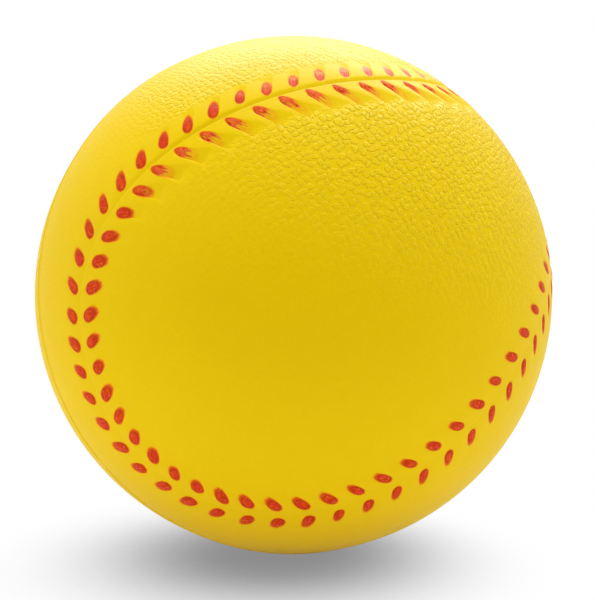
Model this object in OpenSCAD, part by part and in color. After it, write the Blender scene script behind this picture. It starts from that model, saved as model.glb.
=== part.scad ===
// Moulded foam practice baseball.
// A cellular foam core fills a dense moulded skin, whose two halves knit at a parting line.
// The seam is a crease in the skin. Each stitch is a painted bead in a slanted furrow beside it.

/* [Ball] */
// Diameter over the skin
ball_d = 72; // [60:1:100]
// Thickness of the dense skin
skin_t = 1.5; // [1.2:0.1:4]
// Gap between the skin and the foam core
core_gap = 0.1; // [0.05:0.05:0.3]

/* [Parting line] */
// Height of the trimmed flash above the skin
flash_rise = 0.15; // [0.05:0.05:0.4]
// Width of the flash over both halves
flash_w = 0.6; // [0.4:0.1:1.2]

/* [Seam] */
// Latitude that the seam climbs to at the tip of a lobe, in degrees
lobe_lat = 70.5; // [66:0.5:74]
// How far a lobe swells sideways, in degrees
lobe_swell = 27.3; // [24:0.1:30]
// How square a lobe's shoulders are, in degrees
lobe_shoulder = 2.5; // [0:0.1:3.5]
// Width of the crease at the surface
crease_w = 0.7; // [0.5:0.1:1.2]
// Depth of the crease
crease_d = 0.5; // [0.3:0.1:0.9]

/* [Stitches] */
// Stitches in one row, all the way round the ball
stitch_count = 108; // [88:2:120]
// Distance from the crease to the middle of a stitch
row_offset = 2.1; // [1.9:0.1:3]
// Angle between an inner stitch and the crease, in degrees
inner_slant = 60; // [55:1:80]
// Angle between an outer stitch and the crease, in degrees
outer_slant = 67; // [55:1:80]
// Length of a stitch
stitch_l = 3.1; // [2.5:0.1:3.6]
// Width of a stitch
stitch_w = 1.8; // [1.2:0.1:1.9]
// Height of a stitch above the skin
stitch_rise = 0.05; // [0:0.05:0.3]
// Place of the inner row along the seam, in pitches from the lobe tip
inner_phase = -0.17; // [-0.5:0.01:0.5]
// Swing of the inner row along the seam, in pitches: sine and cosine once a half, then twice a half
inner_swing = [-0.11, 0.18, -0.09, -0.09]; // [-0.5:0.01:0.5]
// Place of the outer row along the seam, in pitches from the lobe tip
outer_phase = -0.45; // [-0.5:0.01:0.5]
// Swing of the outer row along the seam, in pitches: sine and cosine once a half, then twice a half
outer_swing = [-0.21, 0.38, -0.15, -0.01]; // [-0.5:0.01:0.5]
// Gap between a stitch and the wall of its furrow
stitch_gap = 0.03; // [0.02:0.01:0.1]

/* [Furrows] */
// Depth of a furrow
furrow_d = 0.5; // [0.4:0.05:0.7]
// How far a furrow is wider than its stitch, on each side
furrow_lip = 0.1; // [0.05:0.05:0.25]
// How far a furrow runs on past its stitch, away from the crease
furrow_tail = 1.9; // [0.8:0.1:2.2]

/* [Lie] */
// Turn about X that lays the ball as it rests, in degrees
lie_x = 118; // [-180:0.5:180]
// Turn about Y, in degrees
lie_y = -14; // [-180:0.5:180]
// Turn about Z, in degrees
lie_z = -72.5; // [-180:0.5:180]

/* [Hidden] */

skin_colour = [0.88, 0.74, 0.06];
core_colour = [0.95, 0.87, 0.45];
paint_colour = [0.80, 0.13, 0.10];

INNER = -1;
OUTER = 1;
DEG_PER_RAD = 180 / PI;
ball_r = ball_d / 2;
ball_fn = 160;
bead_fn = 96;

// The radius of the arc that has this chord and this rise
function arc_r(chord, rise) = (chord * chord / 4 + rise * rise) / (2 * rise);

// How far an arc of radius r falls away at a distance x from its crown
function arc_drop(r, x) = r - sqrt(r * r - x * x);

function unit(v) = v / norm(v);

// The seam on a ball of radius 1, in the seam's own frame.
// X is the axis of the front lobe, Z is its tip, and u runs from 0 at the tip to 360 all the way round.
function seam(u) =
    let (lat = lobe_lat * cos(2 * u), lon = u + lobe_swell * sin(4 * u) + lobe_shoulder * sin(8 * u))
    [cos(lat) * cos(lon), cos(lat) * sin(lon), sin(lat)];

// Direction of travel along the seam
heading_step = 0.05;
function heading(u) = unit(seam(u + heading_step) - seam(u - heading_step));

// Length along the seam against u, for a quarter turn on both sides of the tip and a little more
u_step = 0.5;
u_reach = 100;
seam_table = [
    for (u = -u_reach, s = 0; u <= u_reach; s = s + norm(seam(u + u_step) - seam(u)), u = u + u_step) [s, u]
];
u_table = [for (row = seam_table) [row[1], row[0]]];
tip_s = lookup(0, u_table);
quarter_turn = 90;
half_s = lookup(quarter_turn, u_table) - lookup(-quarter_turn, u_table);
half_count = stitch_count / 2;
pitch = half_s / half_count;

// The u that lies a number of stitch pitches past the lobe tip
function u_at(pitches) = lookup(tip_s + pitches * pitch, seam_table);

// The place of a stitch along the seam, in pitches past the lobe tip. The swing repeats on each half.
function stitch_at(i, phase, swing) =
    let (turn = 4 * quarter_turn * i / half_count)
    i + phase + swing * [sin(turn), cos(turn), sin(2 * turn), cos(2 * turn)];

// The stitches that belong to one half of the ball, and one more past each end of it
first_stitch = 1 - half_count / 2;
last_stitch = half_count / 2;

// The furrow is a spindle that dips into the ball, with its axis above the surface.
// It starts where its stitch starts, beside the crease.
furrow_w = stitch_w + 2 * furrow_lip;
furrow_l = stitch_l + furrow_tail;
furrow_shift = furrow_tail / 2;
furrow_r = arc_r(furrow_w, furrow_d);
furrow_axis = furrow_r - furrow_d;
furrow_bend = arc_r(furrow_l, furrow_d - arc_drop(ball_r, furrow_l / 2));
furrow_over = 0.15;

// The stitch is a bead that fills the furrow, crowned by a spindle with its axis below the surface
function furrow_floor(x) = arc_drop(furrow_bend, x - furrow_shift) - furrow_d;
stitch_edge = furrow_axis - sqrt(furrow_r * furrow_r - stitch_w * stitch_w / 4);
crown_r = arc_r(stitch_w, stitch_rise - stitch_edge);
crown_bend = arc_r(stitch_l, stitch_rise - furrow_floor(stitch_l / 2));
crown_over = 0.1;
crown_l = stitch_l + 2 * crown_over;

spindle_steps = 4;

// A spindle along X: a bowed outline turned about its axis
module spindle(l, r, bend) {
    outline = [
        for (i = [-spindle_steps : spindle_steps])
            let (x = l / 2 * i / spindle_steps)
            [r - arc_drop(bend, x), x]
    ];
    rotate([0, 90, 0])
        rotate_extrude($fn = bead_fn)
            polygon(concat([[0, -l / 2]], outline, [[0, l / 2]]));
}

module furrow(gap) {
    translate([furrow_shift, 0, furrow_axis])
        spindle(furrow_l + 2 * furrow_over, furrow_r - gap, furrow_bend);
}

module stitch() {
    intersection() {
        translate([0, 0, stitch_rise - crown_r])
            spindle(crown_l, crown_r, crown_bend);
        furrow(stitch_gap);
    }
}

// Puts a shape beside the seam: X points along the stitch away from the crease, and Z out of the ball
module beside_seam(u, side) {
    p = seam(u);
    ahead = heading(u);
    away = side * cross(p, ahead);
    slant = side == INNER ? inner_slant : outer_slant;
    lean = row_offset / ball_r * DEG_PER_RAD;
    up = p * cos(lean) + away * sin(lean);
    out = away * cos(lean) - p * sin(lean);
    along = ahead * cos(slant) + out * sin(slant);
    across = cross(up, along);
    multmatrix([
        [along.x, across.x, up.x, up.x * ball_r],
        [along.y, across.y, up.y, up.y * ball_r],
        [along.z, across.z, up.z, up.z * ball_r],
        [0, 0, 0, 1]
    ])
        children();
}

module each_stitch(side, first, last) {
    phase = side == INNER ? inner_phase : outer_phase;
    swing = side == INNER ? inner_swing : outer_swing;
    for (i = [first : last])
        beside_seam(u_at(stitch_at(i, phase, swing)), side)
            children();
}

// The crease is a V that is swept along one half of the seam and a little past its ends
crease_over = 0.2;
crease_top = crease_w / 2 * (1 + crease_over / crease_d);
ring_pts = 3;
rings_per_pitch = 2;
crease_rings = rings_per_pitch * (half_count + 1);

module crease() {
    points = [
        for (i = [0 : crease_rings])
            let (u = u_at((i - crease_rings / 2) / rings_per_pitch), p = seam(u), away = cross(p, heading(u)))
            each [
                p * (ball_r - crease_d),
                p * (ball_r + crease_over) - away * crease_top,
                p * (ball_r + crease_over) + away * crease_top
            ]
    ];
    sides = [
        for (i = [0 : crease_rings - 1])
            for (j = [0 : ring_pts - 1])
                let (a = i * ring_pts + j, b = i * ring_pts + (j + 1) % ring_pts)
                each [[a, b, b + ring_pts], [a, b + ring_pts, a + ring_pts]]
    ];
    last = crease_rings * ring_pts;
    polyhedron(points, concat(sides, [[2, 1, 0], [last, last + 1, last + 2]]));
}

// The outline of one half of the skin, from the parting line to the pole, with the flash at its rim
module half_skin_outline() {
    flash_root = ball_r - skin_t / 2;
    intersection() {
        difference() {
            union() {
                circle(r = ball_r, $fn = ball_fn);
                polygon([
                    [flash_root, 0], [ball_r + flash_rise, 0],
                    [ball_r + flash_rise, flash_w / 4], [flash_root, flash_w / 2]
                ]);
            }
            circle(r = ball_r - skin_t, $fn = ball_fn);
        }
        square(ball_d);
    }
}

module half_skin() {
    difference() {
        rotate([0, 90, 0])
            rotate_extrude($fn = ball_fn)
                half_skin_outline();
        crease();
        for (side = [INNER, OUTER])
            each_stitch(side, first_stitch - 1, last_stitch + 1)
                furrow(0);
    }
}

module stitch_row(side) {
    each_stitch(side, first_stitch, last_stitch)
        stitch();
}

// The seam looks the same after half a turn about its Z axis, so the back half is the front half turned
module lie_front() {
    rotate([lie_x, lie_y, lie_z])
        children();
}

module lie_back() {
    lie_front()
        rotate([0, 0, 2 * quarter_turn])
            children();
}

module foam_core() {
    color(core_colour)
        sphere(r = ball_r - skin_t - core_gap, $fn = ball_fn);
}

module front_skin() {
    color(skin_colour)
        lie_front()
            half_skin();
}

module back_skin() {
    color(skin_colour)
        lie_back()
            half_skin();
}

module front_inner_stitches() {
    color(paint_colour)
        lie_front()
            stitch_row(INNER);
}

module front_outer_stitches() {
    color(paint_colour)
        lie_front()
            stitch_row(OUTER);
}

module back_inner_stitches() {
    color(paint_colour)
        lie_back()
            stitch_row(INNER);
}

module back_outer_stitches() {
    color(paint_colour)
        lie_back()
            stitch_row(OUTER);
}

foam_core();
front_skin();
back_skin();
front_inner_stitches();
front_outer_stitches();
back_inner_stitches();
back_outer_stitches();
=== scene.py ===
"""Visual model of a moulded foam practice baseball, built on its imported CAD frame.

A cellular foam core fills a dense skin. The skin's two halves knit at a parting line, its seam is a
crease, and four rows of painted stitches lie in slanted furrows beside that crease.
Shapes are worked out in millimetres in the seam's own frame, where X is the axis of the front lobe and
Z its tip, and are laid down in metres in the CAD frame.
"""

import logging
import math
from dataclasses import dataclass, field
from enum import Enum

import bmesh
import bpy
import numpy as np
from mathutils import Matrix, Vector, noise
from mathutils.geometry import delaunay_2d_cdt


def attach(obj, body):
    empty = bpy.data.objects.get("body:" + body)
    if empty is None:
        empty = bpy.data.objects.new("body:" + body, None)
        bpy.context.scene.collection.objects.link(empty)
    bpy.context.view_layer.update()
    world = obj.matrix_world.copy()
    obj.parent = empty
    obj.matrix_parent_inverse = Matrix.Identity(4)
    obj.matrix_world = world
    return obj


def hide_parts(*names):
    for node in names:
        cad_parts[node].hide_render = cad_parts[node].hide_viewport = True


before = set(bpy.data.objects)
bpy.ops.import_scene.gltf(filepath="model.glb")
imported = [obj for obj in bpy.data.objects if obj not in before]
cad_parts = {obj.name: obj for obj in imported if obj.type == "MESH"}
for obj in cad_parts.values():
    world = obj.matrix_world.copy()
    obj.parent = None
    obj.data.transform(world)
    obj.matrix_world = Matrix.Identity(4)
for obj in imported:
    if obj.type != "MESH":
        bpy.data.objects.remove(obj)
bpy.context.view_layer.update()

LOG = logging.getLogger("baseball")
BODY = "root"
MM = 0.001
PHOTO_WIDTH = 595
PHOTO_HEIGHT = 600
QUARTER_TURN = 90.0
WHITE = (1.0, 1.0, 1.0, 1.0)
NOISE_MIDDLE = 0.5
# The turn from point to point, and each one's area in squares of the step, when points lie evenly
GOLDEN_TURN = math.pi * (3.0 - math.sqrt(5.0))
EVEN_AREA = math.sqrt(0.75)
# How far a place along a stitch counts in its stroke, so that the paint's streaks run along it
STROKE_DRAW = 0.12
# The least distance between points that are joined up, and the least that is divided by
JOIN_GAP = 1e-7
TINY = 1e-6
# The Mix node's sockets for colours
MIX_FIRST, MIX_SECOND, MIX_RESULT = 6, 7, 2

Array = np.ndarray
Material = bpy.types.Material
Piece = bpy.types.Object
Socket = bpy.types.NodeSocket
Span = tuple[float, float]
Triple = tuple[float, float, float]
Colour = Triple


class Side(Enum):
    """The side of the crease that a row of stitches lies on."""

    INNER = -1
    OUTER = 1


class Half(Enum):
    """A half of the ball. The value counts half turns about the seam's Z axis."""

    FRONT = 0
    BACK = 1


class Slot(Enum):
    """The record's material slots."""

    SKIN = "skin"
    CORE = "core"
    PAINT = "stitch_paint"


def smooth(low: float, high: float, x: Array) -> Array:
    """Eases from 0 at low to 1 at high.

    Args:
        low: Where the ease starts.
        high: Where the ease ends; it may be below low.
        x: The values to ease.

    Returns:
        The eased values, from 0 to 1.
    """
    t = np.clip((x - low) / (high - low), 0.0, 1.0)
    return t * t * (3.0 - 2.0 * t)


def unit(v: Array) -> Array:
    """Scales each row to length 1."""
    return v / np.linalg.norm(v, axis=-1, keepdims=True)


def round_axis(x: Array | float, flat: Array | float, turn: Array) -> Array:
    """Gives points round the X axis.

    Args:
        x: Their places along the axis.
        flat: Their distances from the axis.
        turn: Their turns about it, in radians.

    Returns:
        One point a row.
    """
    return np.stack([x + 0.0 * turn, flat * np.cos(turn), flat * np.sin(turn)], axis=-1)


@dataclass
class Seam:
    """The seam line, and the way from it to places on the ball."""

    ball_r: float = 36.0
    lobe_lat: float = 70.5
    lobe_swell: float = 27.3
    lobe_shoulder: float = 2.5
    stitch_count: int = 108
    reach: float = 100.0
    steps: int = 4000
    lie: Triple = (118.0, -14.0, -72.5)
    chunk: int = 4000
    points: Array = field(init=False)
    headings: Array = field(init=False)
    lengths: Array = field(init=False)
    pitch: float = field(init=False)

    def __post_init__(self) -> None:
        """Measures the seam along its length, from the tip of the front lobe."""
        u = np.linspace(-self.reach, self.reach, self.steps + 1)
        self.points = self.curve(u)
        self.headings = unit(np.gradient(self.points, axis=0))
        chords = np.linalg.norm(np.diff(self.points, axis=0), axis=1) * self.ball_r
        travelled = np.concatenate([[0.0], np.cumsum(chords)])
        self.lengths = travelled - np.interp(0.0, u, travelled)
        ends = np.interp([-QUARTER_TURN, QUARTER_TURN], u, self.lengths)
        self.pitch = float(ends[1] - ends[0]) / (self.stitch_count / 2)

    def curve(self, u: Array) -> Array:
        """Gives the seam's points on a ball of radius 1.

        Args:
            u: Degrees, from 0 at the tip of the front lobe to 360 all the way round.

        Returns:
            One point a row.
        """
        turn = np.radians(u)
        lat = np.radians(self.lobe_lat * np.cos(2.0 * turn))
        swell = self.lobe_swell * np.sin(4.0 * turn) + self.lobe_shoulder * np.sin(8.0 * turn)
        lon = turn + np.radians(swell)
        return np.stack([np.cos(lat) * np.cos(lon), np.cos(lat) * np.sin(lon), np.sin(lat)], axis=-1)

    def place(self, s: Array, d: Array) -> Array:
        """Finds places beside the seam on a ball of radius 1.

        Args:
            s: Length along the seam from the tip of the front lobe.
            d: Distance from the crease, above 0 on the outer side.

        Returns:
            One point a row.
        """
        p = unit(np.stack([np.interp(s, self.lengths, self.points[:, k]) for k in range(3)], axis=-1))
        h = np.stack([np.interp(s, self.lengths, self.headings[:, k]) for k in range(3)], axis=-1)
        away = unit(np.cross(p, h))
        lean = (d / self.ball_r)[:, None]
        return p * np.cos(lean) + away * np.sin(lean)

    def nearest(self, points: Array) -> tuple[Array, Array]:
        """Measures how places on the front half lie to the seam.

        Args:
            points: Places on a ball of radius 1, one a row.

        Returns:
            Length along the seam, and distance from it, above 0 on the outer side.
        """
        s = np.empty(len(points))
        d = np.empty(len(points))
        for start in range(0, len(points), self.chunk):
            part = points[start : start + self.chunk]
            k = np.argmax(part @ self.points.T, axis=1)
            p, h = self.points[k], self.headings[k]
            ahead = np.arcsin(np.clip((part * h).sum(axis=1), -1.0, 1.0))
            aside = np.arcsin(np.clip((part * np.cross(p, h)).sum(axis=1), -1.0, 1.0))
            s[start : start + self.chunk] = self.lengths[k] + self.ball_r * ahead
            d[start : start + self.chunk] = self.ball_r * aside
        return s, d

    def lay(self, points: Array, half: Half) -> Array:
        """Lays places of the front half down in the CAD frame.

        Args:
            points: Places in the seam's frame in millimetres, one a row.
            half: The half of the ball that they are for.

        Returns:
            The places in the CAD frame in metres.
        """
        turned = points * np.array([-1.0, -1.0, 1.0]) if half is Half.BACK else points
        x, y, z = (math.radians(a) for a in self.lie)
        about_x = np.array([[1, 0, 0], [0, math.cos(x), -math.sin(x)], [0, math.sin(x), math.cos(x)]])
        about_y = np.array([[math.cos(y), 0, math.sin(y)], [0, 1, 0], [-math.sin(y), 0, math.cos(y)]])
        about_z = np.array([[math.cos(z), -math.sin(z), 0], [math.sin(z), math.cos(z), 0], [0, 0, 1]])
        return turned @ (about_z @ about_y @ about_x).T * MM


@dataclass
class Row:
    """A row of stitches on one side of the crease: how it lies, and how its paint came out."""

    seam: Seam
    side: Side
    slant: float
    phase: float
    swing: tuple[float, float, float, float]
    slim: float
    fat: float
    taper: float
    thin_from: float
    thin_length: float
    thin_width: float
    thin_taper: float
    wear: float
    furrow_d: float
    furrow_end: float
    length: float = 2.76
    fat_reach: float = 11.0
    thin_to: float = 24.0
    thin_ease: float = 1.2
    offset: float = 2.1
    uneven: float = 0.05
    slide: float = 0.08
    seed: int = 7
    cos_slant: float = field(init=False)
    sin_slant: float = field(init=False)
    grown: Array = field(init=False)
    widened: Array = field(init=False)
    slid: Array = field(init=False)

    def __post_init__(self) -> None:
        """Draws each stitch's own length, width and place, the same on every run."""
        self.cos_slant = math.cos(math.radians(self.slant))
        self.sin_slant = math.sin(math.radians(self.slant))
        count = self.seam.stitch_count
        draws = np.random.default_rng(self.seed + self.side.value)
        self.grown = 1.0 + self.uneven * draws.standard_normal(count)
        self.widened = 1.0 + self.uneven * draws.standard_normal(count)
        self.slid = self.slide * draws.standard_normal(count)

    def drift(self, index: Array) -> Array:
        """Gives how far stitches lie from their even places, which is the same on each half.

        Args:
            index: Their places on this half, from the lobe tip.

        Returns:
            The drift in pitches.
        """
        turn = 4.0 * math.pi * index / self.seam.stitch_count
        waves = np.stack([np.sin(turn), np.cos(turn), np.sin(2.0 * turn), np.cos(2.0 * turn)], axis=-1)
        return self.phase + waves @ np.array(self.swing)

    def at(self, index: Array) -> Array:
        """Gives the length along the seam from the lobe tip to a stitch."""
        return (index + self.drift(index)) * self.seam.pitch

    def local(self, s: Array, d: Array) -> tuple[Array, Array, Array]:
        """Measures places in the frame of the stitch that is nearest to each of them.

        Args:
            s: Length along the seam.
            d: Distance from the crease, of either sign.

        Returns:
            The stitch's index on this half, the distance along it away from the crease, and across it.
        """
        out = np.abs(d) - self.offset
        even = (s - out * self.cos_slant / self.sin_slant) / self.seam.pitch
        index = np.round(even - self.drift(even - self.drift(even)))
        ahead = s - self.at(index)
        a = ahead * self.cos_slant + out * self.sin_slant
        b = ahead * self.sin_slant - out * self.cos_slant
        return index.astype(int), a, b

    def beside(self, index: int, a: Array, b: Array) -> tuple[Array, Array]:
        """Turns places in a stitch's frame into places beside the seam.

        Args:
            index: The stitch's place on this half.
            a: Distance along the stitch, away from the crease.
            b: Distance across it.

        Returns:
            Length along the seam, and distance from it, above 0 on the outer side.
        """
        s = self.at(np.array(index)) + a * self.cos_slant + b * self.sin_slant
        d = self.side.value * (self.offset + a * self.sin_slant - b * self.cos_slant)
        return s, d

    def thin(self, index: Array) -> Array:
        """Gives how thin the paint came out, from 0 where it is full to 1."""
        starts = smooth(self.thin_from - self.thin_ease, self.thin_from + self.thin_ease, index)
        return starts * smooth(self.thin_to + self.thin_ease, self.thin_to - self.thin_ease, index)

    def shape(self, index: Array, half: Half) -> tuple[Array, ...]:
        """Works out the paint of stitches.

        Args:
            index: Their places on this half.
            half: The half of the ball.

        Returns:
            Half the length, half the width, the taper and the slide along the stitch.
        """
        count = self.seam.stitch_count
        number = np.mod(index + half.value * count // 2, count)
        thin = self.thin(index)
        length = self.length * (1.0 + thin * (self.thin_length - 1.0))
        swell = np.exp(-((index / self.fat_reach) ** 2))
        width = (self.slim + swell * (self.fat - self.slim)) * (1.0 + thin * (self.thin_width - 1.0))
        taper = self.taper + thin * (self.thin_taper - self.taper)
        half_l = length / 2 * self.grown[number]
        half_w = width / 2 * self.widened[number]
        return half_l, half_w, taper, self.slid[number]

    def spread(self, index: Array, a: Array, b: Array, half: Half) -> tuple[Array, Array]:
        """Measures how far out in its stitch's paint each place lies.

        Args:
            index: The stitch's place on this half.
            a: Distance along the stitch.
            b: Distance across it.
            half: The half of the ball.

        Returns:
            0 in the middle and 1 at the edge, and the place along the stitch, from -1 to 1 at its tail.
        """
        half_l, half_w, taper, slid = self.shape(index, half)
        along = (a - slid) / half_l
        leaf = half_w * (1.0 - taper * np.clip(along, -1.0, 1.0))
        return np.hypot(along, b / leaf), along


@dataclass
class Relief:
    """How far the moulded skin stands from a plain ball, in millimetres."""

    seam: Seam
    rows: dict[Side, Row]
    crease_d: float = 0.30
    crease_lip: float = 0.20
    crease_slope: float = 0.9
    pressed_least: float = 0.15
    deep_from: Span = (6.0, 12.0)
    deep_to: Span = (30.0, 27.0)
    furrow_start: float = -1.95
    furrow_open: float = 1.2
    furrow_fade: float = 1.3
    wall: float = 0.14
    wall_off: float = 0.68
    wedge: float = 0.42
    wedge_w: float = 0.55
    pillow: float = 0.05
    pillow_from: Span = (0.4, 2.0)
    pillow_to: Span = (5.4, 3.4)
    flash_rise: float = 0.14
    flash_w: float = 0.42
    nicks: tuple[float, ...] = (99.1, 112.9)
    nick_w: float = 0.45
    nick_d: float = 0.24

    def furrow(self, row: Row, a: Array, b: Array) -> Array:
        """Gives the depth of a furrow: a wedge that widens away from the crease, below a steep wall.

        Args:
            row: The row of stitches.
            a: Distance along the stitch, away from the crease.
            b: Distance across it.

        Returns:
            The depth.
        """
        from_start = a - self.furrow_start
        run = smooth(0.0, self.furrow_open, from_start)
        run *= smooth(row.furrow_end, row.furrow_end - self.furrow_fade, a)
        from_wall = self.wall_off - b * row.side.value
        steep = smooth(-self.wall / 2, self.wall / 2, from_wall)
        width = self.wedge_w + self.wedge * np.clip(from_start, 0.0, None)
        return row.furrow_d * run * steep * np.clip(1.0 - from_wall / width, 0.0, 1.0)

    def puckers(self, row: Row, d: Array, b: Array) -> Array:
        """Gives the rise of the pillows between the furrows.

        Args:
            row: The row of stitches.
            d: Distance from the crease, of either sign.
            b: Distance across the nearest stitch.

        Returns:
            The rise.
        """
        spacing = self.seam.pitch * row.sin_slant
        swell = 0.5 - 0.5 * np.cos(2.0 * math.pi * b / spacing)
        reach = np.abs(d)
        return self.pillow * swell * smooth(*self.pillow_from, reach) * smooth(*self.pillow_to, reach)

    def height(self, points: Array, s: Array, d: Array, half: Half) -> Array:
        """Adds up the relief at places on the front half.

        Args:
            points: The places on a ball of radius 1.
            s: Length along the seam.
            d: Distance from the crease.
            half: The half of the ball that they are for.

        Returns:
            The height over a plain ball.
        """
        slope = np.where(d > 0, smooth(self.crease_slope, 0.0, d), smooth(self.crease_lip, 0.0, -d))
        deep = smooth(*self.deep_from, s / self.seam.pitch)
        deep *= smooth(*self.deep_to, s / self.seam.pitch)
        pressed = self.pressed_least + (1.0 - self.pressed_least) * deep
        h = -self.crease_d * pressed * slope
        for side, row in self.rows.items():
            mine = (d >= 0) == (side is Side.OUTER)
            _, a, b = row.local(s, d)
            h += np.where(mine, self.puckers(row, d, b) - pressed * self.furrow(row, a, b), 0.0)
        lip = smooth(self.flash_w, 0.0, np.abs(points[:, 0]) * self.seam.ball_r)
        h += self.flash_rise * lip
        y = -points[:, 1] if half is Half.BACK else points[:, 1]
        around = np.degrees(np.arctan2(points[:, 2], y))
        for nick in self.nicks:
            off = np.radians(around - nick) * self.seam.ball_r
            h -= self.nick_d * lip * np.exp(-((off / self.nick_w) ** 2))
        return h


@dataclass(frozen=True)
class Lumps:
    """Soft noise: its lumps a metre, or a unit of its vector, its finer detail, and where it eases."""

    scale: float
    detail: float = 2.0
    roughness: float = 0.5
    span: Span = (0.0, 1.0)


class Graph:
    """A node tree, with short calls that add and join its nodes."""

    def __init__(self, tree: bpy.types.NodeTree) -> None:
        """Starts with an empty tree."""
        self.tree = tree
        tree.nodes.clear()

    def add(self, kind: str, inputs: dict | None = None, **settings: object) -> bpy.types.Node:
        """Adds a node.

        Args:
            kind: The node's type name, without the word ShaderNode.
            inputs: Values or sockets for its inputs, by name or number.
            **settings: The node's own settings.

        Returns:
            The node.
        """
        node = self.tree.nodes.new("ShaderNode" + kind)
        for name, value in settings.items():
            setattr(node, name, value)
        for name, value in (inputs or {}).items():
            if isinstance(value, Socket):
                self.tree.links.new(value, node.inputs[name])
            else:
                node.inputs[name].default_value = value
        return node

    def attribute(self, name: str) -> Socket:
        """Reads a number that the mesh holds at each point."""
        return self.add("Attribute", attribute_name=name, attribute_type="GEOMETRY").outputs["Fac"]

    def triple(self, name: str) -> Socket:
        """Reads a place or another triple that the mesh holds at each point."""
        return self.add("Attribute", attribute_name=name, attribute_type="GEOMETRY").outputs["Vector"]

    def place(self) -> Socket:
        """Reads the place in the CAD frame."""
        return self.add("TexCoord").outputs["Object"]

    def math(self, operation: str, *values: object) -> Socket:
        """Works out a sum from sockets or numbers."""
        return self.add("Math", dict(enumerate(values)), operation=operation).outputs[0]

    def times(self, first: object, *others: object) -> Socket:
        """Multiplies sockets or numbers.

        Args:
            first: The first of them.
            *others: The others, in order.

        Returns:
            The product.
        """
        for other in others:
            first = self.math("MULTIPLY", first, other)
        return first

    def vector(self, operation: str, *values: object) -> Socket:
        """Works out a sum of vectors from sockets or triples."""
        return self.add("VectorMath", dict(enumerate(values)), operation=operation).outputs[0]

    def ease(
        self, value: Socket, low: float, high: float, start: float = 0.0, end: float = 1.0
    ) -> Socket:
        """Eases a value from start at low to end at high."""
        span = {"Value": value, "From Min": low, "From Max": high, "To Min": start, "To Max": end}
        return self.add("MapRange", span, interpolation_type="SMOOTHSTEP").outputs["Result"]

    def noise(self, lumps: Lumps, at: Socket | None = None) -> Socket:
        """Makes soft noise.

        Args:
            lumps: Its scale and detail.
            at: Where it is read, or None for the place in the CAD frame.

        Returns:
            The noise, from 0 to 1.
        """
        inputs = {"Vector": at or self.place(), "Scale": lumps.scale}
        inputs |= {"Detail": lumps.detail, "Roughness": lumps.roughness}
        return self.add("TexNoise", inputs).outputs["Fac"]

    def eased(self, lumps: Lumps, ends: Span = (0.0, 1.0)) -> Socket:
        """Makes soft noise that eases between two ends over its span."""
        return self.ease(self.noise(lumps), *lumps.span, *ends)

    def centred(self, lumps: Lumps, at: Socket | None = None) -> Socket:
        """Makes soft noise that swings about 0."""
        return self.math("SUBTRACT", self.noise(lumps, at), NOISE_MIDDLE)

    def cells(self, scale: float) -> Socket:
        """Makes cells, with this many a metre, as the distance from their middles."""
        inputs = {"Vector": self.place(), "Scale": scale, "Randomness": 1.0}
        return self.add("TexVoronoi", inputs).outputs["Distance"]

    def flat_cells(self, size: float, random: float, at: Socket) -> Socket:
        """Makes flat cells of this size, as the distance from their middles in sizes."""
        inputs = {"Vector": at, "Scale": 1.0 / size, "Randomness": random}
        return self.add("TexVoronoi", inputs, voronoi_dimensions="2D").outputs["Distance"]

    def warped(self, at: Socket, scale: float, by: float) -> Socket:
        """Pushes a place about by noise.

        Args:
            at: The place.
            scale: The noise's lumps for each unit of the place.
            by: How far apart the pushes can be.

        Returns:
            The pushed place.
        """
        push = self.add("TexNoise", {"Vector": at, "Scale": scale}).outputs["Color"]
        centred = self.vector("SUBTRACT", push, (NOISE_MIDDLE,) * 3)
        return self.vector("ADD", at, self.vector("MULTIPLY", centred, (by, by, by)))

    def blend(self, share: object, first: object, second: object) -> Socket:
        """Blends two colours.

        Args:
            share: The share of the second colour.
            first: A colour or a socket.
            second: Another colour or socket.

        Returns:
            The blended colour.
        """
        node = self.add("Mix", {"Factor": share}, data_type="RGBA")
        for slot, value in ((MIX_FIRST, first), (MIX_SECOND, second)):
            if isinstance(value, Socket):
                self.tree.links.new(value, node.inputs[slot])
            else:
                node.inputs[slot].default_value = (*value, 1.0)
        return node.outputs[MIX_RESULT]

    def bump(self, height: Socket, strength: float = 1.0) -> Socket:
        """Turns a height in metres into a normal."""
        inputs = {"Strength": strength, "Distance": 1.0, "Height": height}
        return self.add("Bump", inputs).outputs["Normal"]

    def surface(self, inputs: dict) -> None:
        """Ends the tree with one shader that has these inputs."""
        shader = self.add("BsdfPrincipled", inputs)
        self.add("OutputMaterial", {"Surface": shader.outputs["BSDF"]})


def new_material(name: str) -> tuple[Material, Graph]:
    """Makes a material with an empty node tree.

    Args:
        name: The material's name.

    Returns:
        The material, and its tree.
    """
    material = bpy.data.materials.new(name)
    material.use_nodes = True
    return material, Graph(material.node_tree)


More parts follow.
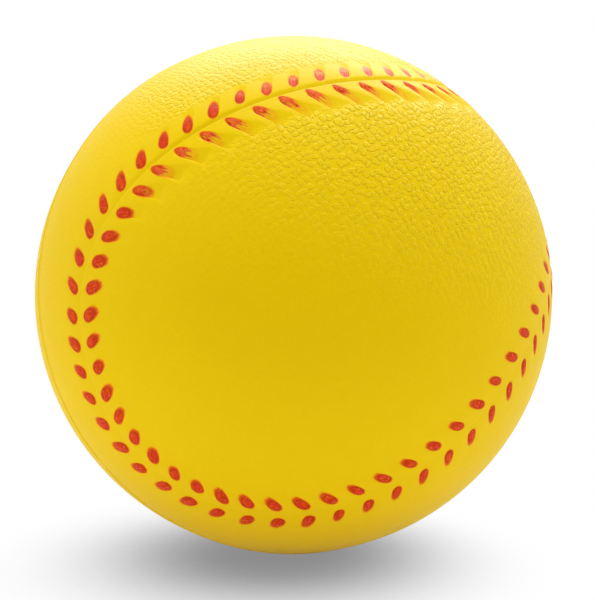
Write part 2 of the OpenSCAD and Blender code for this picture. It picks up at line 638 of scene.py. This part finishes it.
@dataclass(frozen=True)
class SkinFinish:
    """Soft yellow moulded skin with a pebble grain, and red paint where the stitches are."""

    name: str = "yellow_skin"
    yellow: Colour = (0.80, 0.545, 0.001)
    deep_yellow: Colour = (0.77, 0.515, 0.001)
    # pale: the colour of a painted highlight on the pebbles' walls
    pale: Colour = (0.96, 0.75, 0.07)
    ochre: Colour = (0.58, 0.36, 0.004)
    orange: Colour = (0.80, 0.27, 0.004)
    red: Colour = (0.66, 0.070, 0.004)
    specular: float = 0.03
    sheen: float = 0.09
    sheen_roughness: float = 0.35
    sheen_tint: Colour = (1.0, 0.86, 0.45)
    # How strongly the pebbles' walls are painted with the pale highlight
    wall_highlight: float = 2.0
    pebble: float = 1.0
    pebble_h: float = 0.00014
    pebble_round: Span = (0.46, 0.31)
    pebble_random: float = 0.55
    warp: float = 1.5
    warp_scale: float = 0.4
    grain: Lumps = Lumps(2300.0, 3.0, 0.6)
    grain_h: float = 0.000022
    mottle: Lumps = Lumps(70.0, 4.0)
    rim_stain: float = 0.45
    streak: Lumps = Lumps(3.0, 3.0, 0.6)
    streak_share: float = 0.7
    ragged: Lumps = Lumps(2600.0, 3.0, 0.7)
    ragged_share: float = 0.3
    cover_from: Span = (0.0, 0.15)
    stain_range: Span = (0.05, 0.55)
    red_range: Span = (0.40, 0.85)
    gloss: Lumps = Lumps(900.0, 3.0, span=(0.2, 0.8))
    roughness: Span = (0.42, 0.54)

    def make(self) -> Material:
        """Makes the material.

        Returns:
            The material, which reads the skin's paint, grain_and_highlight, rim, stroke and hide
            numbers.
        """
        material, g = new_material(self.name)
        paint, grain_and_highlight = g.attribute("paint"), g.attribute("grain_and_highlight")
        yellow = g.blend(g.noise(self.mottle), self.deep_yellow, self.yellow)
        spot = g.warped(g.triple("hide"), self.warp_scale, self.warp)
        cells = g.flat_cells(self.pebble, self.pebble_random, spot)
        rounded = g.ease(cells, *self.pebble_round)
        wall = g.times(rounded, g.math("SUBTRACT", 1.0, rounded))
        # Painted highlight: the pebbles' walls are painted pale yellow, most on the side of the ball
        # that faces the light
        highlighted = g.blend(g.times(grain_and_highlight, self.wall_highlight, wall), yellow, self.pale)
        skin = g.blend(g.times(g.attribute("rim"), self.rim_stain), highlighted, self.ochre)
        streak = g.times(g.centred(self.streak, g.triple("stroke")), self.streak_share)
        ragged = g.times(g.centred(self.ragged), self.ragged_share)
        torn = g.math("ADD", paint, g.math("ADD", streak, ragged))
        cover = g.times(torn, g.ease(paint, *self.cover_from))
        stained = g.blend(g.ease(cover, *self.stain_range), skin, self.orange)
        colour = g.blend(g.ease(cover, *self.red_range), stained, self.red)
        lumps = g.times(rounded, self.pebble_h, grain_and_highlight)
        fine = g.times(g.noise(self.grain), self.grain_h)
        g.surface(
            {
                "Base Color": colour,
                "Roughness": g.eased(self.gloss, self.roughness),
                "Normal": g.bump(g.math("ADD", lumps, fine)),
                "Specular IOR Level": self.specular,
                "Sheen Weight": self.sheen,
                "Sheen Roughness": self.sheen_roughness,
                "Sheen Tint": (*self.sheen_tint, 1.0),
            }
        )
        return material


@dataclass(frozen=True)
class PaintFinish:
    """Red paint on the stitches, with streaks that it missed. Their edges are dark, partly from paint
    that pooled there and partly as painted shade where the bead sinks into its furrow. Pale dots on the
    paint are a painted highlight that stands for glints.
    """

    name: str = "red_stitch_paint"
    red: Colour = (0.74, 0.075, 0.005)
    crimson: Colour = (0.72, 0.045, 0.022)
    deep_red: Colour = (0.54, 0.032, 0.002)
    thin_red: Colour = (0.82, 0.13, 0.03)
    # brown: dark edges, partly paint that pooled there and partly painted shade where the bead sinks
    # into its furrow
    brown: Colour = (0.40, 0.045, 0.001)
    yellow: Colour = (0.80, 0.44, 0.004)
    pale: Colour = (0.92, 0.26, 0.10)
    specular: float = 0.03
    brush: Lumps = Lumps(4.0, 3.0, 0.6)
    blotch: Lumps = Lumps(1900.0, 3.0)
    full_range: Span = (0.82, 1.16)
    thin_range: Span = (0.80, 1.04)
    hue: Lumps = Lumps(700.0, 2.0, span=(0.42, 0.58))
    ragged: Lumps = Lumps(2400.0, 3.0, 0.7)
    ragged_share: float = 0.6
    rim_range: Span = (0.52, 0.98)
    rim_most: float = 0.9
    tail_range: Span = (-0.12, 0.15)
    tail_wear: float = 0.2
    head_wear: float = 0.8
    streak: Lumps = Lumps(3.0, 3.0, 0.6)
    streak_range: Span = (0.43, 0.56)
    streak_middle: float = 0.62
    streak_lean: float = 0.29
    # Pale dots on the paint: a painted highlight that stands for glints
    glints: float = 2600.0
    glint_range: Span = (0.26, 0.14)
    glint_chance: Lumps = Lumps(1100.0, 1.0, span=(0.46, 0.58))
    lumps: Lumps = Lumps(2200.0, 3.0, 0.65)
    lump_h: float = 0.00003
    gloss: Lumps = Lumps(1700.0, 2.0, span=(0.25, 0.75))
    roughness: Span = (0.34, 0.50)

    def make(self) -> Material:
        """Makes the material.

        Returns:
            The material, which reads the edge, wear and stroke numbers of each stitch.
        """
        material, g = new_material(self.name)
        edge, wear = g.attribute("edge"), g.attribute("wear")
        stroke = g.triple("stroke")
        brushed = g.math("ADD", g.noise(self.brush, stroke), g.noise(self.blotch))
        bright = g.blend(g.eased(self.hue), self.red, self.crimson)
        full = g.blend(g.ease(brushed, *self.full_range), self.deep_red, bright)
        red = g.blend(g.times(g.ease(brushed, *self.thin_range), wear), full, self.thin_red)
        ragged = g.times(g.centred(self.ragged), self.ragged_share)
        # Dark edges: partly pooled paint, partly painted shade where the bead sinks into its furrow
        rim = g.ease(g.math("ADD", edge, ragged), *self.rim_range, 0.0, self.rim_most)
        tail = g.ease(g.add("SeparateXYZ", {0: stroke}).outputs["Y"], *self.tail_range)
        worn = g.times(wear, g.math("MULTIPLY_ADD", tail, self.tail_wear, self.head_wear))
        pooled_and_shaded = g.blend(g.times(rim, g.math("SUBTRACT", 1.0, worn)), red, self.brown)
        along = g.math("SUBTRACT", tail, self.streak_middle)
        thinned = g.math("MULTIPLY_ADD", along, self.streak_lean, g.noise(self.streak, stroke))
        missed = g.times(g.ease(thinned, *self.streak_range), wear)
        streaked = g.blend(missed, pooled_and_shaded, self.yellow)
        # Painted highlight: pale dots that stand for glints on the paint
        glint = g.ease(g.cells(self.glints), *self.glint_range)
        colour = g.blend(g.times(glint, g.eased(self.glint_chance)), streaked, self.pale)
        g.surface(
            {
                "Base Color": colour,
                "Roughness": g.eased(self.gloss, self.roughness),
                "Normal": g.bump(g.times(g.noise(self.lumps), self.lump_h)),
                "Specular IOR Level": self.specular,
            }
        )
        return material


@dataclass(frozen=True)
class FoamFinish:
    """Cut cellular foam, pale yellow, with open bubbles."""

    name: str = "cellular_foam"
    pale: Colour = (0.86, 0.70, 0.16)
    # deep: painted shade in the hollows of the open bubbles
    deep: Colour = (0.62, 0.44, 0.05)
    bubbles: float = 900.0
    bubble_range: Span = (0.15, 0.55)
    bubble_h: float = 0.0002
    bubble_strength: float = 0.8
    gloss: Lumps = Lumps(600.0, 3.0, span=(0.2, 0.8))
    roughness: Span = (0.8, 0.95)

    def make(self) -> Material:
        """Makes the material.

        Returns:
            The material, which needs no numbers of the mesh.
        """
        material, g = new_material(self.name)
        bubble = g.ease(g.cells(self.bubbles), *self.bubble_range)
        height = g.times(bubble, self.bubble_h)
        g.surface(
            {
                # The bubbles' hollows are painted darker: painted shade
                "Base Color": g.blend(bubble, self.deep, self.pale),
                "Roughness": g.eased(self.gloss, self.roughness),
                "Normal": g.bump(height, self.bubble_strength),
            }
        )
        return material


def put(name: str, data: bpy.types.ID) -> Piece:
    """Puts an object with this data in the scene.

    Args:
        name: The object's name.
        data: Its mesh, light or camera.

    Returns:
        The object.
    """
    made = bpy.data.objects.new(name, data)
    bpy.context.scene.collection.objects.link(made)
    return made


def make_piece(
    name: str,
    points: Array,
    faces: list[list[int]],
    numbers: dict[str, Array],
    material: Material,
    sharp: float,
) -> Piece:
    """Makes a mesh object.

    Args:
        name: The piece's name.
        points: Its points in metres in the CAD frame, one a row.
        faces: Its faces.
        numbers: Numbers or triples that its material reads, one for each point.
        material: Its finish.
        sharp: Edges at more than this many degrees are shaded as sharp.

    Returns:
        The object, in the scene.
    """
    mesh = bpy.data.meshes.new(name)
    mesh.from_pydata(points.tolist(), [], faces)
    for key, values in numbers.items():
        kind, slot = ("FLOAT", "value") if values.ndim == 1 else ("FLOAT_VECTOR", "vector")
        layer = mesh.attributes.new(key, kind, "POINT")
        layer.data.foreach_set(slot, values.astype(np.float32).ravel())
    mesh.validate()
    mesh.shade_smooth()
    mesh.set_sharp_from_angle(angle=math.radians(sharp))
    mesh.materials.append(material)
    return put(name, mesh)


@dataclass
class FoamCore:
    """The foam that fills the skin."""

    radius: float = 34.38
    subdivisions: int = 6
    bubble: float = 1.6
    pit: float = 0.3
    pit_slope: float = 1.6
    sharp: float = 60.0
    node: str = "foam_core"

    def build(self, finish: FoamFinish) -> Piece:
        """Makes the core, with the open bubbles of its foam.

        Args:
            finish: The foam's finish.

        Returns:
            The piece.
        """
        shell = bmesh.new()
        bmesh.ops.create_icosphere(shell, subdivisions=self.subdivisions, radius=self.radius)
        for vertex in shell.verts:
            gap = noise.voronoi(vertex.co / self.bubble)[0]
            depth = self.pit * max(0.0, 1.0 - self.pit_slope * gap[0])
            vertex.co *= (1.0 - depth / self.radius) * MM
        points = np.array([v.co for v in shell.verts])
        faces = [[v.index for v in f.verts] for f in shell.faces]
        shell.free()
        piece = make_piece("foam_core_body", points, faces, {}, finish.make(), self.sharp)
        return self.dress(piece)

    def dress(self, piece: Piece) -> Piece:
        """Puts the core on its body, in place of the CAD solid.

        Args:
            piece: The core.

        Returns:
            The piece.
        """
        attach(piece, BODY)
        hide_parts(self.node)
        return piece


@dataclass
class SkinHalves:
    """The two halves of the dense skin, as shells with the seam's relief in them."""

    seam: Seam
    rows: dict[Side, Row]
    relief: Relief
    skin_t: float = 1.5
    columns: int = 24
    far_columns: int = 12
    spare_stitches: int = 2
    near_rows: tuple[float, ...] = (0.0, 0.08, 0.16, 0.25, 0.36, 0.5, 0.65, 0.8)
    row_step: float = 0.2
    far_from: float = 4.4
    far_step: float = 0.35
    band: float = 5.8
    panel_step: float = 0.62
    rim_rings: tuple[float, ...] = (0.0, 0.1, 0.2, 0.32, 0.48)
    rim_count: int = 912
    rim_share: int = 4
    rim_room: float = 0.62
    inner_rings: int = 20
    roll_apart: float = 4.0
    panel_fade: Span = (3.9, 5.6)
    # The way towards the light: the grain stands out most on that side, and its painted highlight is
    # strongest there
    lit_way: Triple = (0.45, -0.1, 0.89)
    lit_range: Span = (0.29, 0.90)
    lit_least: float = 0.10
    rim_dark: float = 0.3
    full_to: float = 0.84
    feather: float = 0.32
    tail_feather: float = 0.5
    tail_loss: float = 0.75
    tail_range: Span = (-0.7, 0.5)
    sharp: float = 55.0
    base: Array = field(init=False)
    s: Array = field(init=False)
    d: Array = field(init=False)
    triangles: list[list[int]] = field(init=False)

    def __post_init__(self) -> None:
        """Scatters the points of one half and joins them up."""
        band_s, band_d = self.band_places()
        beside = self.seam.place(band_s, band_d)
        loose = np.concatenate([self.rim_points(), self.panel_points()])
        loose_s, loose_d = self.seam.nearest(loose)
        inside = beside[:, 0] * self.seam.ball_r > self.rim_room
        ringed = len(self.rim_rings) * self.rim_count
        keep = np.arange(len(loose)) < ringed
        keep |= np.abs(loose_d) > self.band + self.panel_step / 2
        self.base = np.concatenate([loose[keep], beside[inside]])
        self.s = np.concatenate([loose_s[keep], band_s[inside]])
        self.d = np.concatenate([loose_d[keep], band_d[inside]])
        self.triangles = self.join(self.base)

    def band_places(self) -> tuple[Array, Array]:
        """Lays out the points beside the seam, in columns that follow the furrows.

        Returns:
            Length along the seam, and distance from it.
        """
        middle = np.arange(self.near_rows[-1] + self.row_step, self.far_from, self.row_step)
        far = np.arange(self.far_from, self.band, self.far_step)
        along, beside = [], []
        for side, row in self.rows.items():
            for out in (*self.near_rows, *middle, *far):
                if out == 0.0 and side is Side.OUTER:
                    continue
                columns = self.columns if out < self.far_from else self.far_columns
                reach = (self.seam.stitch_count // 4 + self.spare_stitches) * columns
                k = np.arange(-reach, reach + 1)
                s = row.at(k / columns) + (out - row.offset) * row.cos_slant / row.sin_slant
                s = s[np.abs(s) < self.seam.lengths[-1]]
                along.append(s)
                beside.append(np.full(len(s), side.value * out))
        return np.concatenate(along), np.concatenate(beside)

    def rim_points(self) -> Array:
        """Lays rings of points along the parting line.

        Returns:
            The points on a ball of radius 1, one a row.
        """
        turn = 2.0 * math.pi * np.arange(self.rim_count) / self.rim_count
        places = [off / self.seam.ball_r for off in self.rim_rings]
        return np.concatenate([round_axis(x, math.sqrt(1.0 - x * x), turn) for x in places])

    def panel_points(self) -> Array:
        """Spreads points evenly over the half, clear of its rim.

        Returns:
            The points on a ball of radius 1, one a row.
        """
        area = 2.0 * math.pi * self.seam.ball_r**2
        count = int(area / (EVEN_AREA * self.panel_step**2))
        k = np.arange(count)
        x = (k + 0.5) / count
        points = round_axis(x, np.sqrt(1.0 - x * x), GOLDEN_TURN * k)
        return points[x * self.seam.ball_r > self.rim_room + self.panel_step / 4]

    @staticmethod
    def join(points: Array) -> list[list[int]]:
        """Joins points of a half ball up with triangles.

        Args:
            points: The points on a ball of radius 1.

        Returns:
            The triangles, facing out.
        """
        flat = points[:, 1:] / (1.0 + points[:, :1])
        made = delaunay_2d_cdt([Vector(p) for p in flat], [], [], 0, JOIN_GAP, True)
        _, _, faces, sources, _, _ = made
        first = [ids[0] for ids in sources]
        return [[first[k] for k in face] for face in faces]

    def inside(self, start: int) -> tuple[Array, list[list[int]]]:
        """Closes a half with its flat rim and its inner wall.

        Args:
            start: The number of the first new point.

        Returns:
            The new points in millimetres, and the new faces.
        """
        count = self.rim_count // self.rim_share
        turn = 2.0 * math.pi * np.arange(count) / count
        radius = self.seam.ball_r - self.skin_t
        tilts = [math.pi / 2 * k / self.inner_rings for k in range(self.inner_rings)]
        rings = [radius * round_axis(math.sin(tilt), math.cos(tilt), turn) for tilt in tilts]
        points = np.concatenate([*rings, [[radius, 0.0, 0.0]]])
        faces = []
        for k in range(count):
            nxt = (k + 1) % count
            outer = [(k * self.rim_share + j) % self.rim_count for j in range(self.rim_share + 1)]
            faces.append([start + k, start + nxt, *reversed(outer)])
            for ring in range(self.inner_rings - 1):
                low = start + ring * count
                high = low + count
                faces.append([low + k, high + k, high + nxt, low + nxt])
            top = start + (self.inner_rings - 1) * count
            faces.append([top + k, start + len(points) - 1, top + nxt])
        return points, faces

    def flattened(self, half: Half) -> Array:
        """Rolls a half out flat round the axis of its lobe.

        Args:
            half: Which half.

        Returns:
            The flat places in millimetres, clear of the other half's.
        """
        from_axis = np.arccos(np.clip(self.base[:, 0], -1.0, 1.0))
        aside = np.hypot(self.base[:, 1], self.base[:, 2])
        stretch = self.seam.ball_r * from_axis / np.maximum(aside, TINY)
        apart = self.roll_apart * self.seam.ball_r * half.value
        flat = [stretch * self.base[:, 1] + apart, stretch * self.base[:, 2], 0.0 * aside]
        return np.stack(flat, axis=-1)

    def numbers(self, half: Half, extra: int) -> dict[str, Array]:
        """Works out what the skin's finish reads at each point.

        Args:
            half: The half of the ball.
            extra: How many points of the inner wall follow.

        Returns:
            The paint's cover, the share of grain away from the seam and of its painted highlight, which
            is most on the side that faces the light, the nearness of the rim, the stroke's place, and
            the place on the half when it is rolled out flat.
        """
        paint = np.zeros(len(self.base))
        stroke = np.zeros((len(self.base), 3))
        for side, row in self.rows.items():
            mine = (self.d >= 0) == (side is Side.OUTER)
            index, a, b = row.local(self.s, self.d)
            out, along = row.spread(index, a, b, half)
            tail = np.clip(along, 0.0, 1.0)
            feather = self.feather + self.tail_feather * tail
            cover = smooth(1.0, 0.0, (out - self.full_to) / feather)
            loss = self.tail_loss * row.wear * row.thin(index)
            cover *= 1.0 - loss * smooth(*self.tail_range, along)
            paint = np.where(mine, cover, paint)
            drawn = np.stack([b, STROKE_DRAW * a, index], axis=-1)
            stroke = np.where(mine[:, None], drawn, stroke)
        from_plane = np.abs(self.base[:, 0]) * self.seam.ball_r
        # The grain and its painted highlight are strongest where the ball faces the light
        upward = unit(self.seam.lay(self.base, half)) @ np.array(self.lit_way)
        crisp_and_lit = self.lit_least + (1.0 - self.lit_least) * smooth(*self.lit_range, upward)
        numbers = {
            "paint": paint,
            "grain_and_highlight": crisp_and_lit * smooth(*self.panel_fade, np.abs(self.d)),
            "rim": smooth(self.rim_dark, 0.0, from_plane),
            "stroke": stroke,
            "hide": self.flattened(half),
        }
        return {key: np.concatenate([v, np.repeat(v[:1], extra, axis=0)]) for key, v in numbers.items()}

    def build(self, half: Half, material: Material) -> Piece:
        """Makes one half of the skin.

        Args:
            half: Which half.
            material: The skin's finish.

        Returns:
            The piece.
        """
        height = self.relief.height(self.base, self.s, self.d, half)
        outer = self.base * (self.seam.ball_r + height)[:, None]
        inner, closing = self.inside(len(outer))
        points = self.seam.lay(np.concatenate([outer, inner]), half)
        faces = self.triangles + closing
        name = f"{half.name.lower()}_skin"
        numbers = self.numbers(half, len(inner))
        piece = make_piece(name + "_shell", points, faces, numbers, material, self.sharp)
        return self.dress(piece, name)

    @staticmethod
    def dress(piece: Piece, node: str) -> Piece:
        """Puts a half on its body, in place of its CAD solid.

        Args:
            piece: The half.
            node: The CAD node that it stands for.

        Returns:
            The piece.
        """
        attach(piece, BODY)
        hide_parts(node)
        return piece


@dataclass
class StitchRow:
    """The beads of painted stitches, one piece for each row of each half."""

    seam: Seam
    rows: dict[Side, Row]
    relief: Relief
    rings: int = 9
    spokes: int = 40
    under_rings: int = 3
    edge: float = 0.97
    rise: float = 0.09
    sink: float = 0.05
    thick: float = 0.35
    flat_share: float = 0.6
    strand: float = 0.42
    strand_h: float = 0.025
    sink_power: int = 8
    sharp: float = 70.0

    def stitch(self, index: int, row: Row, half: Half) -> tuple[Array, Array, Array]:
        """Works out one stitch as a bead that lies in its furrow.

        Args:
            index: Its place on this half, from the lobe tip.
            row: Its row.
            half: The half of the ball.

        Returns:
            Its points in millimetres, top rings first, how near each is to its edge, and its place in
            the stroke.
        """
        half_l, half_w, taper, slid = (float(v[0]) for v in row.shape(np.array([index]), half))
        turn = 2.0 * math.pi * np.arange(self.spokes) / self.spokes
        top = np.arange(1, self.rings + 1) / self.rings
        under = np.arange(self.under_rings - 1, 0, -1) / self.under_rings
        out = np.concatenate([np.repeat([*top, *under], self.spokes), [0.0, 0.0]])
        turns = np.concatenate([np.tile(turn, len(top) + len(under)), [0.0, 0.0]])
        below = np.zeros(len(out), dtype=bool)
        below[self.rings * self.spokes : -2] = True
        below[-1] = True
        along = np.cos(turns) * self.edge * out
        a = slid + half_l * along
        b = half_w * (1.0 - taper * along) * np.sin(turns) * self.edge * out
        s, d = row.beside(index, a, b)
        base = self.seam.place(s, d)
        rise = self.rise * (1.0 - self.flat_share * float(row.thin(np.array([index]))[0]))
        bead = rise * (1.0 - out**2) - self.sink * out**self.sink_power
        bead += self.strand_h * np.cos(2.0 * math.pi * b / self.strand) * (1.0 - out**2)
        lift = np.where(below, -self.sink - self.thick * (1.0 - out**2), bead)
        height = self.relief.height(base, s, d, half) + lift
        stroke = np.stack([b, STROKE_DRAW * a, np.full_like(a, index)], axis=-1)
        return base * (self.seam.ball_r + height)[:, None], out, stroke

    def faces(self) -> list[list[int]]:
        """Joins one stitch's points up.

        Returns:
            The faces, with the top facing out on the inner side of the crease.
        """
        n, ring_count = self.spokes, self.rings + self.under_rings - 1
        top, under = ring_count * n, ring_count * n + 1
        faces = []
        for k in range(n):
            nxt = (k + 1) % n
            faces.append([top, k, nxt])
            for ring in range(ring_count - 1):
                low, high = ring * n, (ring + 1) * n
                faces.append([low + k, high + k, high + nxt, low + nxt])
            last = (ring_count - 1) * n
            faces.append([last + k, under, last + nxt])
        return faces

    def build(self, side: Side, half: Half, material: Material) -> Piece:
        """Makes the beads of one row.

        Args:
            side: The side of the crease.
            half: The half of the ball.
            material: The paint.

        Returns:
            The piece.
        """
        row = self.rows[side]
        quarter = self.seam.stitch_count // 4
        indexes = np.arange(1 - quarter, quarter + 1)
        pattern = self.faces() if side is Side.INNER else [face[::-1] for face in self.faces()]
        beads, edges, strokes = zip(*(self.stitch(index, row, half) for index in indexes))
        faces = [[k * len(beads[0]) + j for j in face] for k in range(len(beads)) for face in pattern]
        numbers = {
            "edge": np.concatenate(edges),
            "wear": np.repeat(row.wear * row.thin(indexes), len(beads[0])),
            "stroke": np.concatenate(strokes),
        }
        laid = self.seam.lay(np.concatenate(beads), half)
        name = f"{half.name.lower()}_{side.name.lower()}_stitches"
        piece = make_piece(name + "_beads", laid, faces, numbers, material, self.sharp)
        return self.dress(piece, name)

    @staticmethod
    def dress(piece: Piece, node: str) -> Piece:
        """Puts a row on its body, in place of its CAD solids.

        Args:
            piece: The row.
            node: The CAD node that it stands for.

        Returns:
            The piece.
        """
        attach(piece, BODY)
        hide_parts(node)
        return piece


@dataclass(frozen=True)
class Glow:
    """A soft patch of the tent's light, brightest where it aims."""

    aim: Triple
    level: float
    power: float = 2.0


@dataclass(frozen=True)
class Lamp:
    """A soft lamp that faces the ball, with its width, height and power, for all or for gloss only."""

    name: str
    place: Triple
    size: Span
    power: float
    gloss_only: bool = False


@dataclass
class Studio:
    """The white floor, the soft light and the camera."""

    ball_r: float = 0.036
    floor_size: float = 30.0
    floor_white: Colour = (0.92, 0.92, 0.92)
    floor_glow: float = 0.15
    shadow_reach: float = 0.2
    shadow_lean: Triple = (0.20, 0.48, 1.0)
    shadow_open: Span = (0.06, 0.72)
    shadow_grey: float = 0.26
    shadow_samples: int = 32
    lamps: tuple[Lamp, ...] = (
        Lamp("top_lamp", (0.04, 0.04, 0.45), (0.34, 0.34), 1.4),
        Lamp("back_lamp", (0.02, 0.33, 0.30), (0.42, 0.28), 4.0, True),
    )
    lamp_white: Colour = (0.93, 1.0, 1.08)
    glows: tuple[Glow, ...] = (
        Glow((-1.0, 0.0, 0.2), 1.86),
        Glow((0.75, 0.1, 0.6), 1.42),
    )
    elevation: float = 9.0
    distance: float = 8.24
    outline_px: float = 258.7
    centre_px: Span = (293.5, 294.5)
    sensor: float = 36.0
    clip_start: float = 0.01

    def floor(self) -> None:
        """Lays a white floor that keeps the soft shadow under the ball."""
        half = self.floor_size / 2
        z = -self.ball_r
        corners = [(-half, -half, z), (half, -half, z), (half, half, z), (-half, half, z)]
        mesh = bpy.data.meshes.new("studio_floor")
        mesh.from_pydata(corners, [], [(0, 1, 2, 3)])
        floor = put("studio_floor", mesh)
        material, g = new_material("floor_white")
        paper = g.add("BsdfDiffuse", {"Color": (*self.floor_white, 1.0)})
        glow = g.add("Emission", {"Strength": self.floor_glow})
        lit = g.add("AddShader", {0: paper.outputs[0], 1: glow.outputs[0]})
        lean = tuple(Vector(self.shadow_lean).normalized())
        toward = g.add("CombineXYZ", dict(enumerate(lean))).outputs["Vector"]
        sky = {"Distance": self.shadow_reach, "Normal": toward}
        under = g.add("AmbientOcclusion", sky, samples=self.shadow_samples).outputs["AO"]
        white = g.ease(under, *self.shadow_open, self.shadow_grey, 1.0)
        seen = g.add("Emission", {"Strength": white})
        mix = g.add("MixShader", {0: self.shown(g), 1: lit.outputs[0], 2: seen.outputs[0]})
        g.add("OutputMaterial", {"Surface": mix.outputs[0]})
        mesh.materials.append(material)

    @staticmethod
    def shown(g: Graph) -> Socket:
        """Tells the rays that show the background: those of the camera, of gloss and of glass.

        Args:
            g: The node tree of the floor or the tent.

        Returns:
            1 for those rays, and 0 for the others.
        """
        path = g.add("LightPath")
        seen = path.outputs["Is Camera Ray"]
        for kind in ("Is Glossy Ray", "Is Transmission Ray"):
            seen = g.math("MAXIMUM", seen, path.outputs[kind])
        return seen

    def lights(self) -> None:
        """Hangs soft lamps round the ball, in a white tent with soft patches of light."""
        for lamp in self.lamps:
            light = bpy.data.lights.new(lamp.name, "AREA")
            light.shape = "ELLIPSE"
            light.size, light.size_y = lamp.size
            light.energy = lamp.power
            light.color = self.lamp_white
            hung = put(lamp.name, light)
            hung.location = lamp.place
            hung.rotation_euler = (-Vector(lamp.place)).to_track_quat("-Z", "Y").to_euler()
            hung.visible_camera = False
            hung.visible_diffuse = not lamp.gloss_only
        world = bpy.data.worlds.new("tent")
        bpy.context.scene.world = world
        world.use_nodes = True
        g = Graph(world.node_tree)
        way = g.add("TexCoord").outputs["Generated"]
        total: object = 0.0
        for glow in self.glows:
            aim = tuple(Vector(glow.aim).normalized())
            facing = g.add("VectorMath", {0: way, 1: aim}, operation="DOT_PRODUCT").outputs["Value"]
            patch = g.math("POWER", g.math("MAXIMUM", facing, 0.0), glow.power)
            total = g.math("MULTIPLY_ADD", patch, glow.level, total)
        tent = g.add("Background", {"Color": WHITE, "Strength": total})
        white = g.add("Background", {"Color": WHITE})
        mix = g.add("MixShader", {0: self.shown(g), 1: tent.outputs[0], 2: white.outputs[0]})
        g.add("OutputWorld", {"Surface": mix.outputs[0]})

    def camera(self) -> None:
        """Sets the camera where the photograph was taken from."""
        lens = bpy.data.cameras.new("photo_camera")
        focal_px = self.outline_px * math.sqrt(self.distance**2 - 1.0)
        lens.sensor_width = self.sensor
        lens.lens = self.sensor * focal_px / PHOTO_HEIGHT
        lens.shift_x = (PHOTO_WIDTH / 2 - self.centre_px[0]) / PHOTO_HEIGHT
        lens.shift_y = (self.centre_px[1] - PHOTO_HEIGHT / 2) / PHOTO_HEIGHT
        lens.clip_start = self.clip_start
        tilt = math.radians(self.elevation)
        back = Vector((0.0, -math.cos(tilt), math.sin(tilt)))
        eye = put("photo_camera", lens)
        eye.location = back * self.distance * self.ball_r
        eye.rotation_euler = (-back).to_track_quat("-Z", "Y").to_euler()
        bpy.context.scene.camera = eye

    def build(self) -> None:
        """Sets up the whole studio."""
        self.camera()
        self.floor()
        self.lights()
        bpy.context.scene.view_settings.view_transform = "Standard"


def main() -> None:
    """Builds the studio and the ball's pieces in order."""
    logging.basicConfig(level=logging.INFO, format="%(name)s: %(message)s")
    Studio().build()
    seam = Seam()
    rows = {
        Side.INNER: Row(
            seam,
            Side.INNER,
            slant=60.0,
            phase=-0.17,
            swing=(-0.11, 0.18, -0.09, -0.09),
            slim=1.23,
            fat=1.93,
            taper=0.10,
            thin_from=9.3,
            thin_length=1.4,
            thin_width=1.15,
            thin_taper=-0.2,
            wear=1.0,
            furrow_d=0.44,
            furrow_end=4.1,
        ),
        Side.OUTER: Row(
            seam,
            Side.OUTER,
            slant=67.0,
            phase=-0.45,
            swing=(-0.21, 0.38, -0.15, -0.01),
            slim=1.3,
            fat=1.78,
            taper=0.22,
            thin_from=14.6,
            thin_length=0.92,
            thin_width=1.0,
            thin_taper=0.0,
            wear=0.4,
            furrow_d=0.14,
            furrow_end=2.8,
        ),
    }
    relief = Relief(seam, rows)
    pieces = [FoamCore().build(FoamFinish())]
    skin = SkinFinish().make()
    halves = SkinHalves(seam, rows, relief)
    pieces += [halves.build(half, skin) for half in Half]
    paint = PaintFinish().make()
    beads = StitchRow(seam, rows, relief)
    pieces += [beads.build(side, half, paint) for half in Half for side in Side]
    for piece in pieces:
        mesh = piece.data
        LOG.info("%s: %d points, %d faces", piece.name, len(mesh.vertices), len(mesh.polygons))


if __name__ == "__main__":
    main()
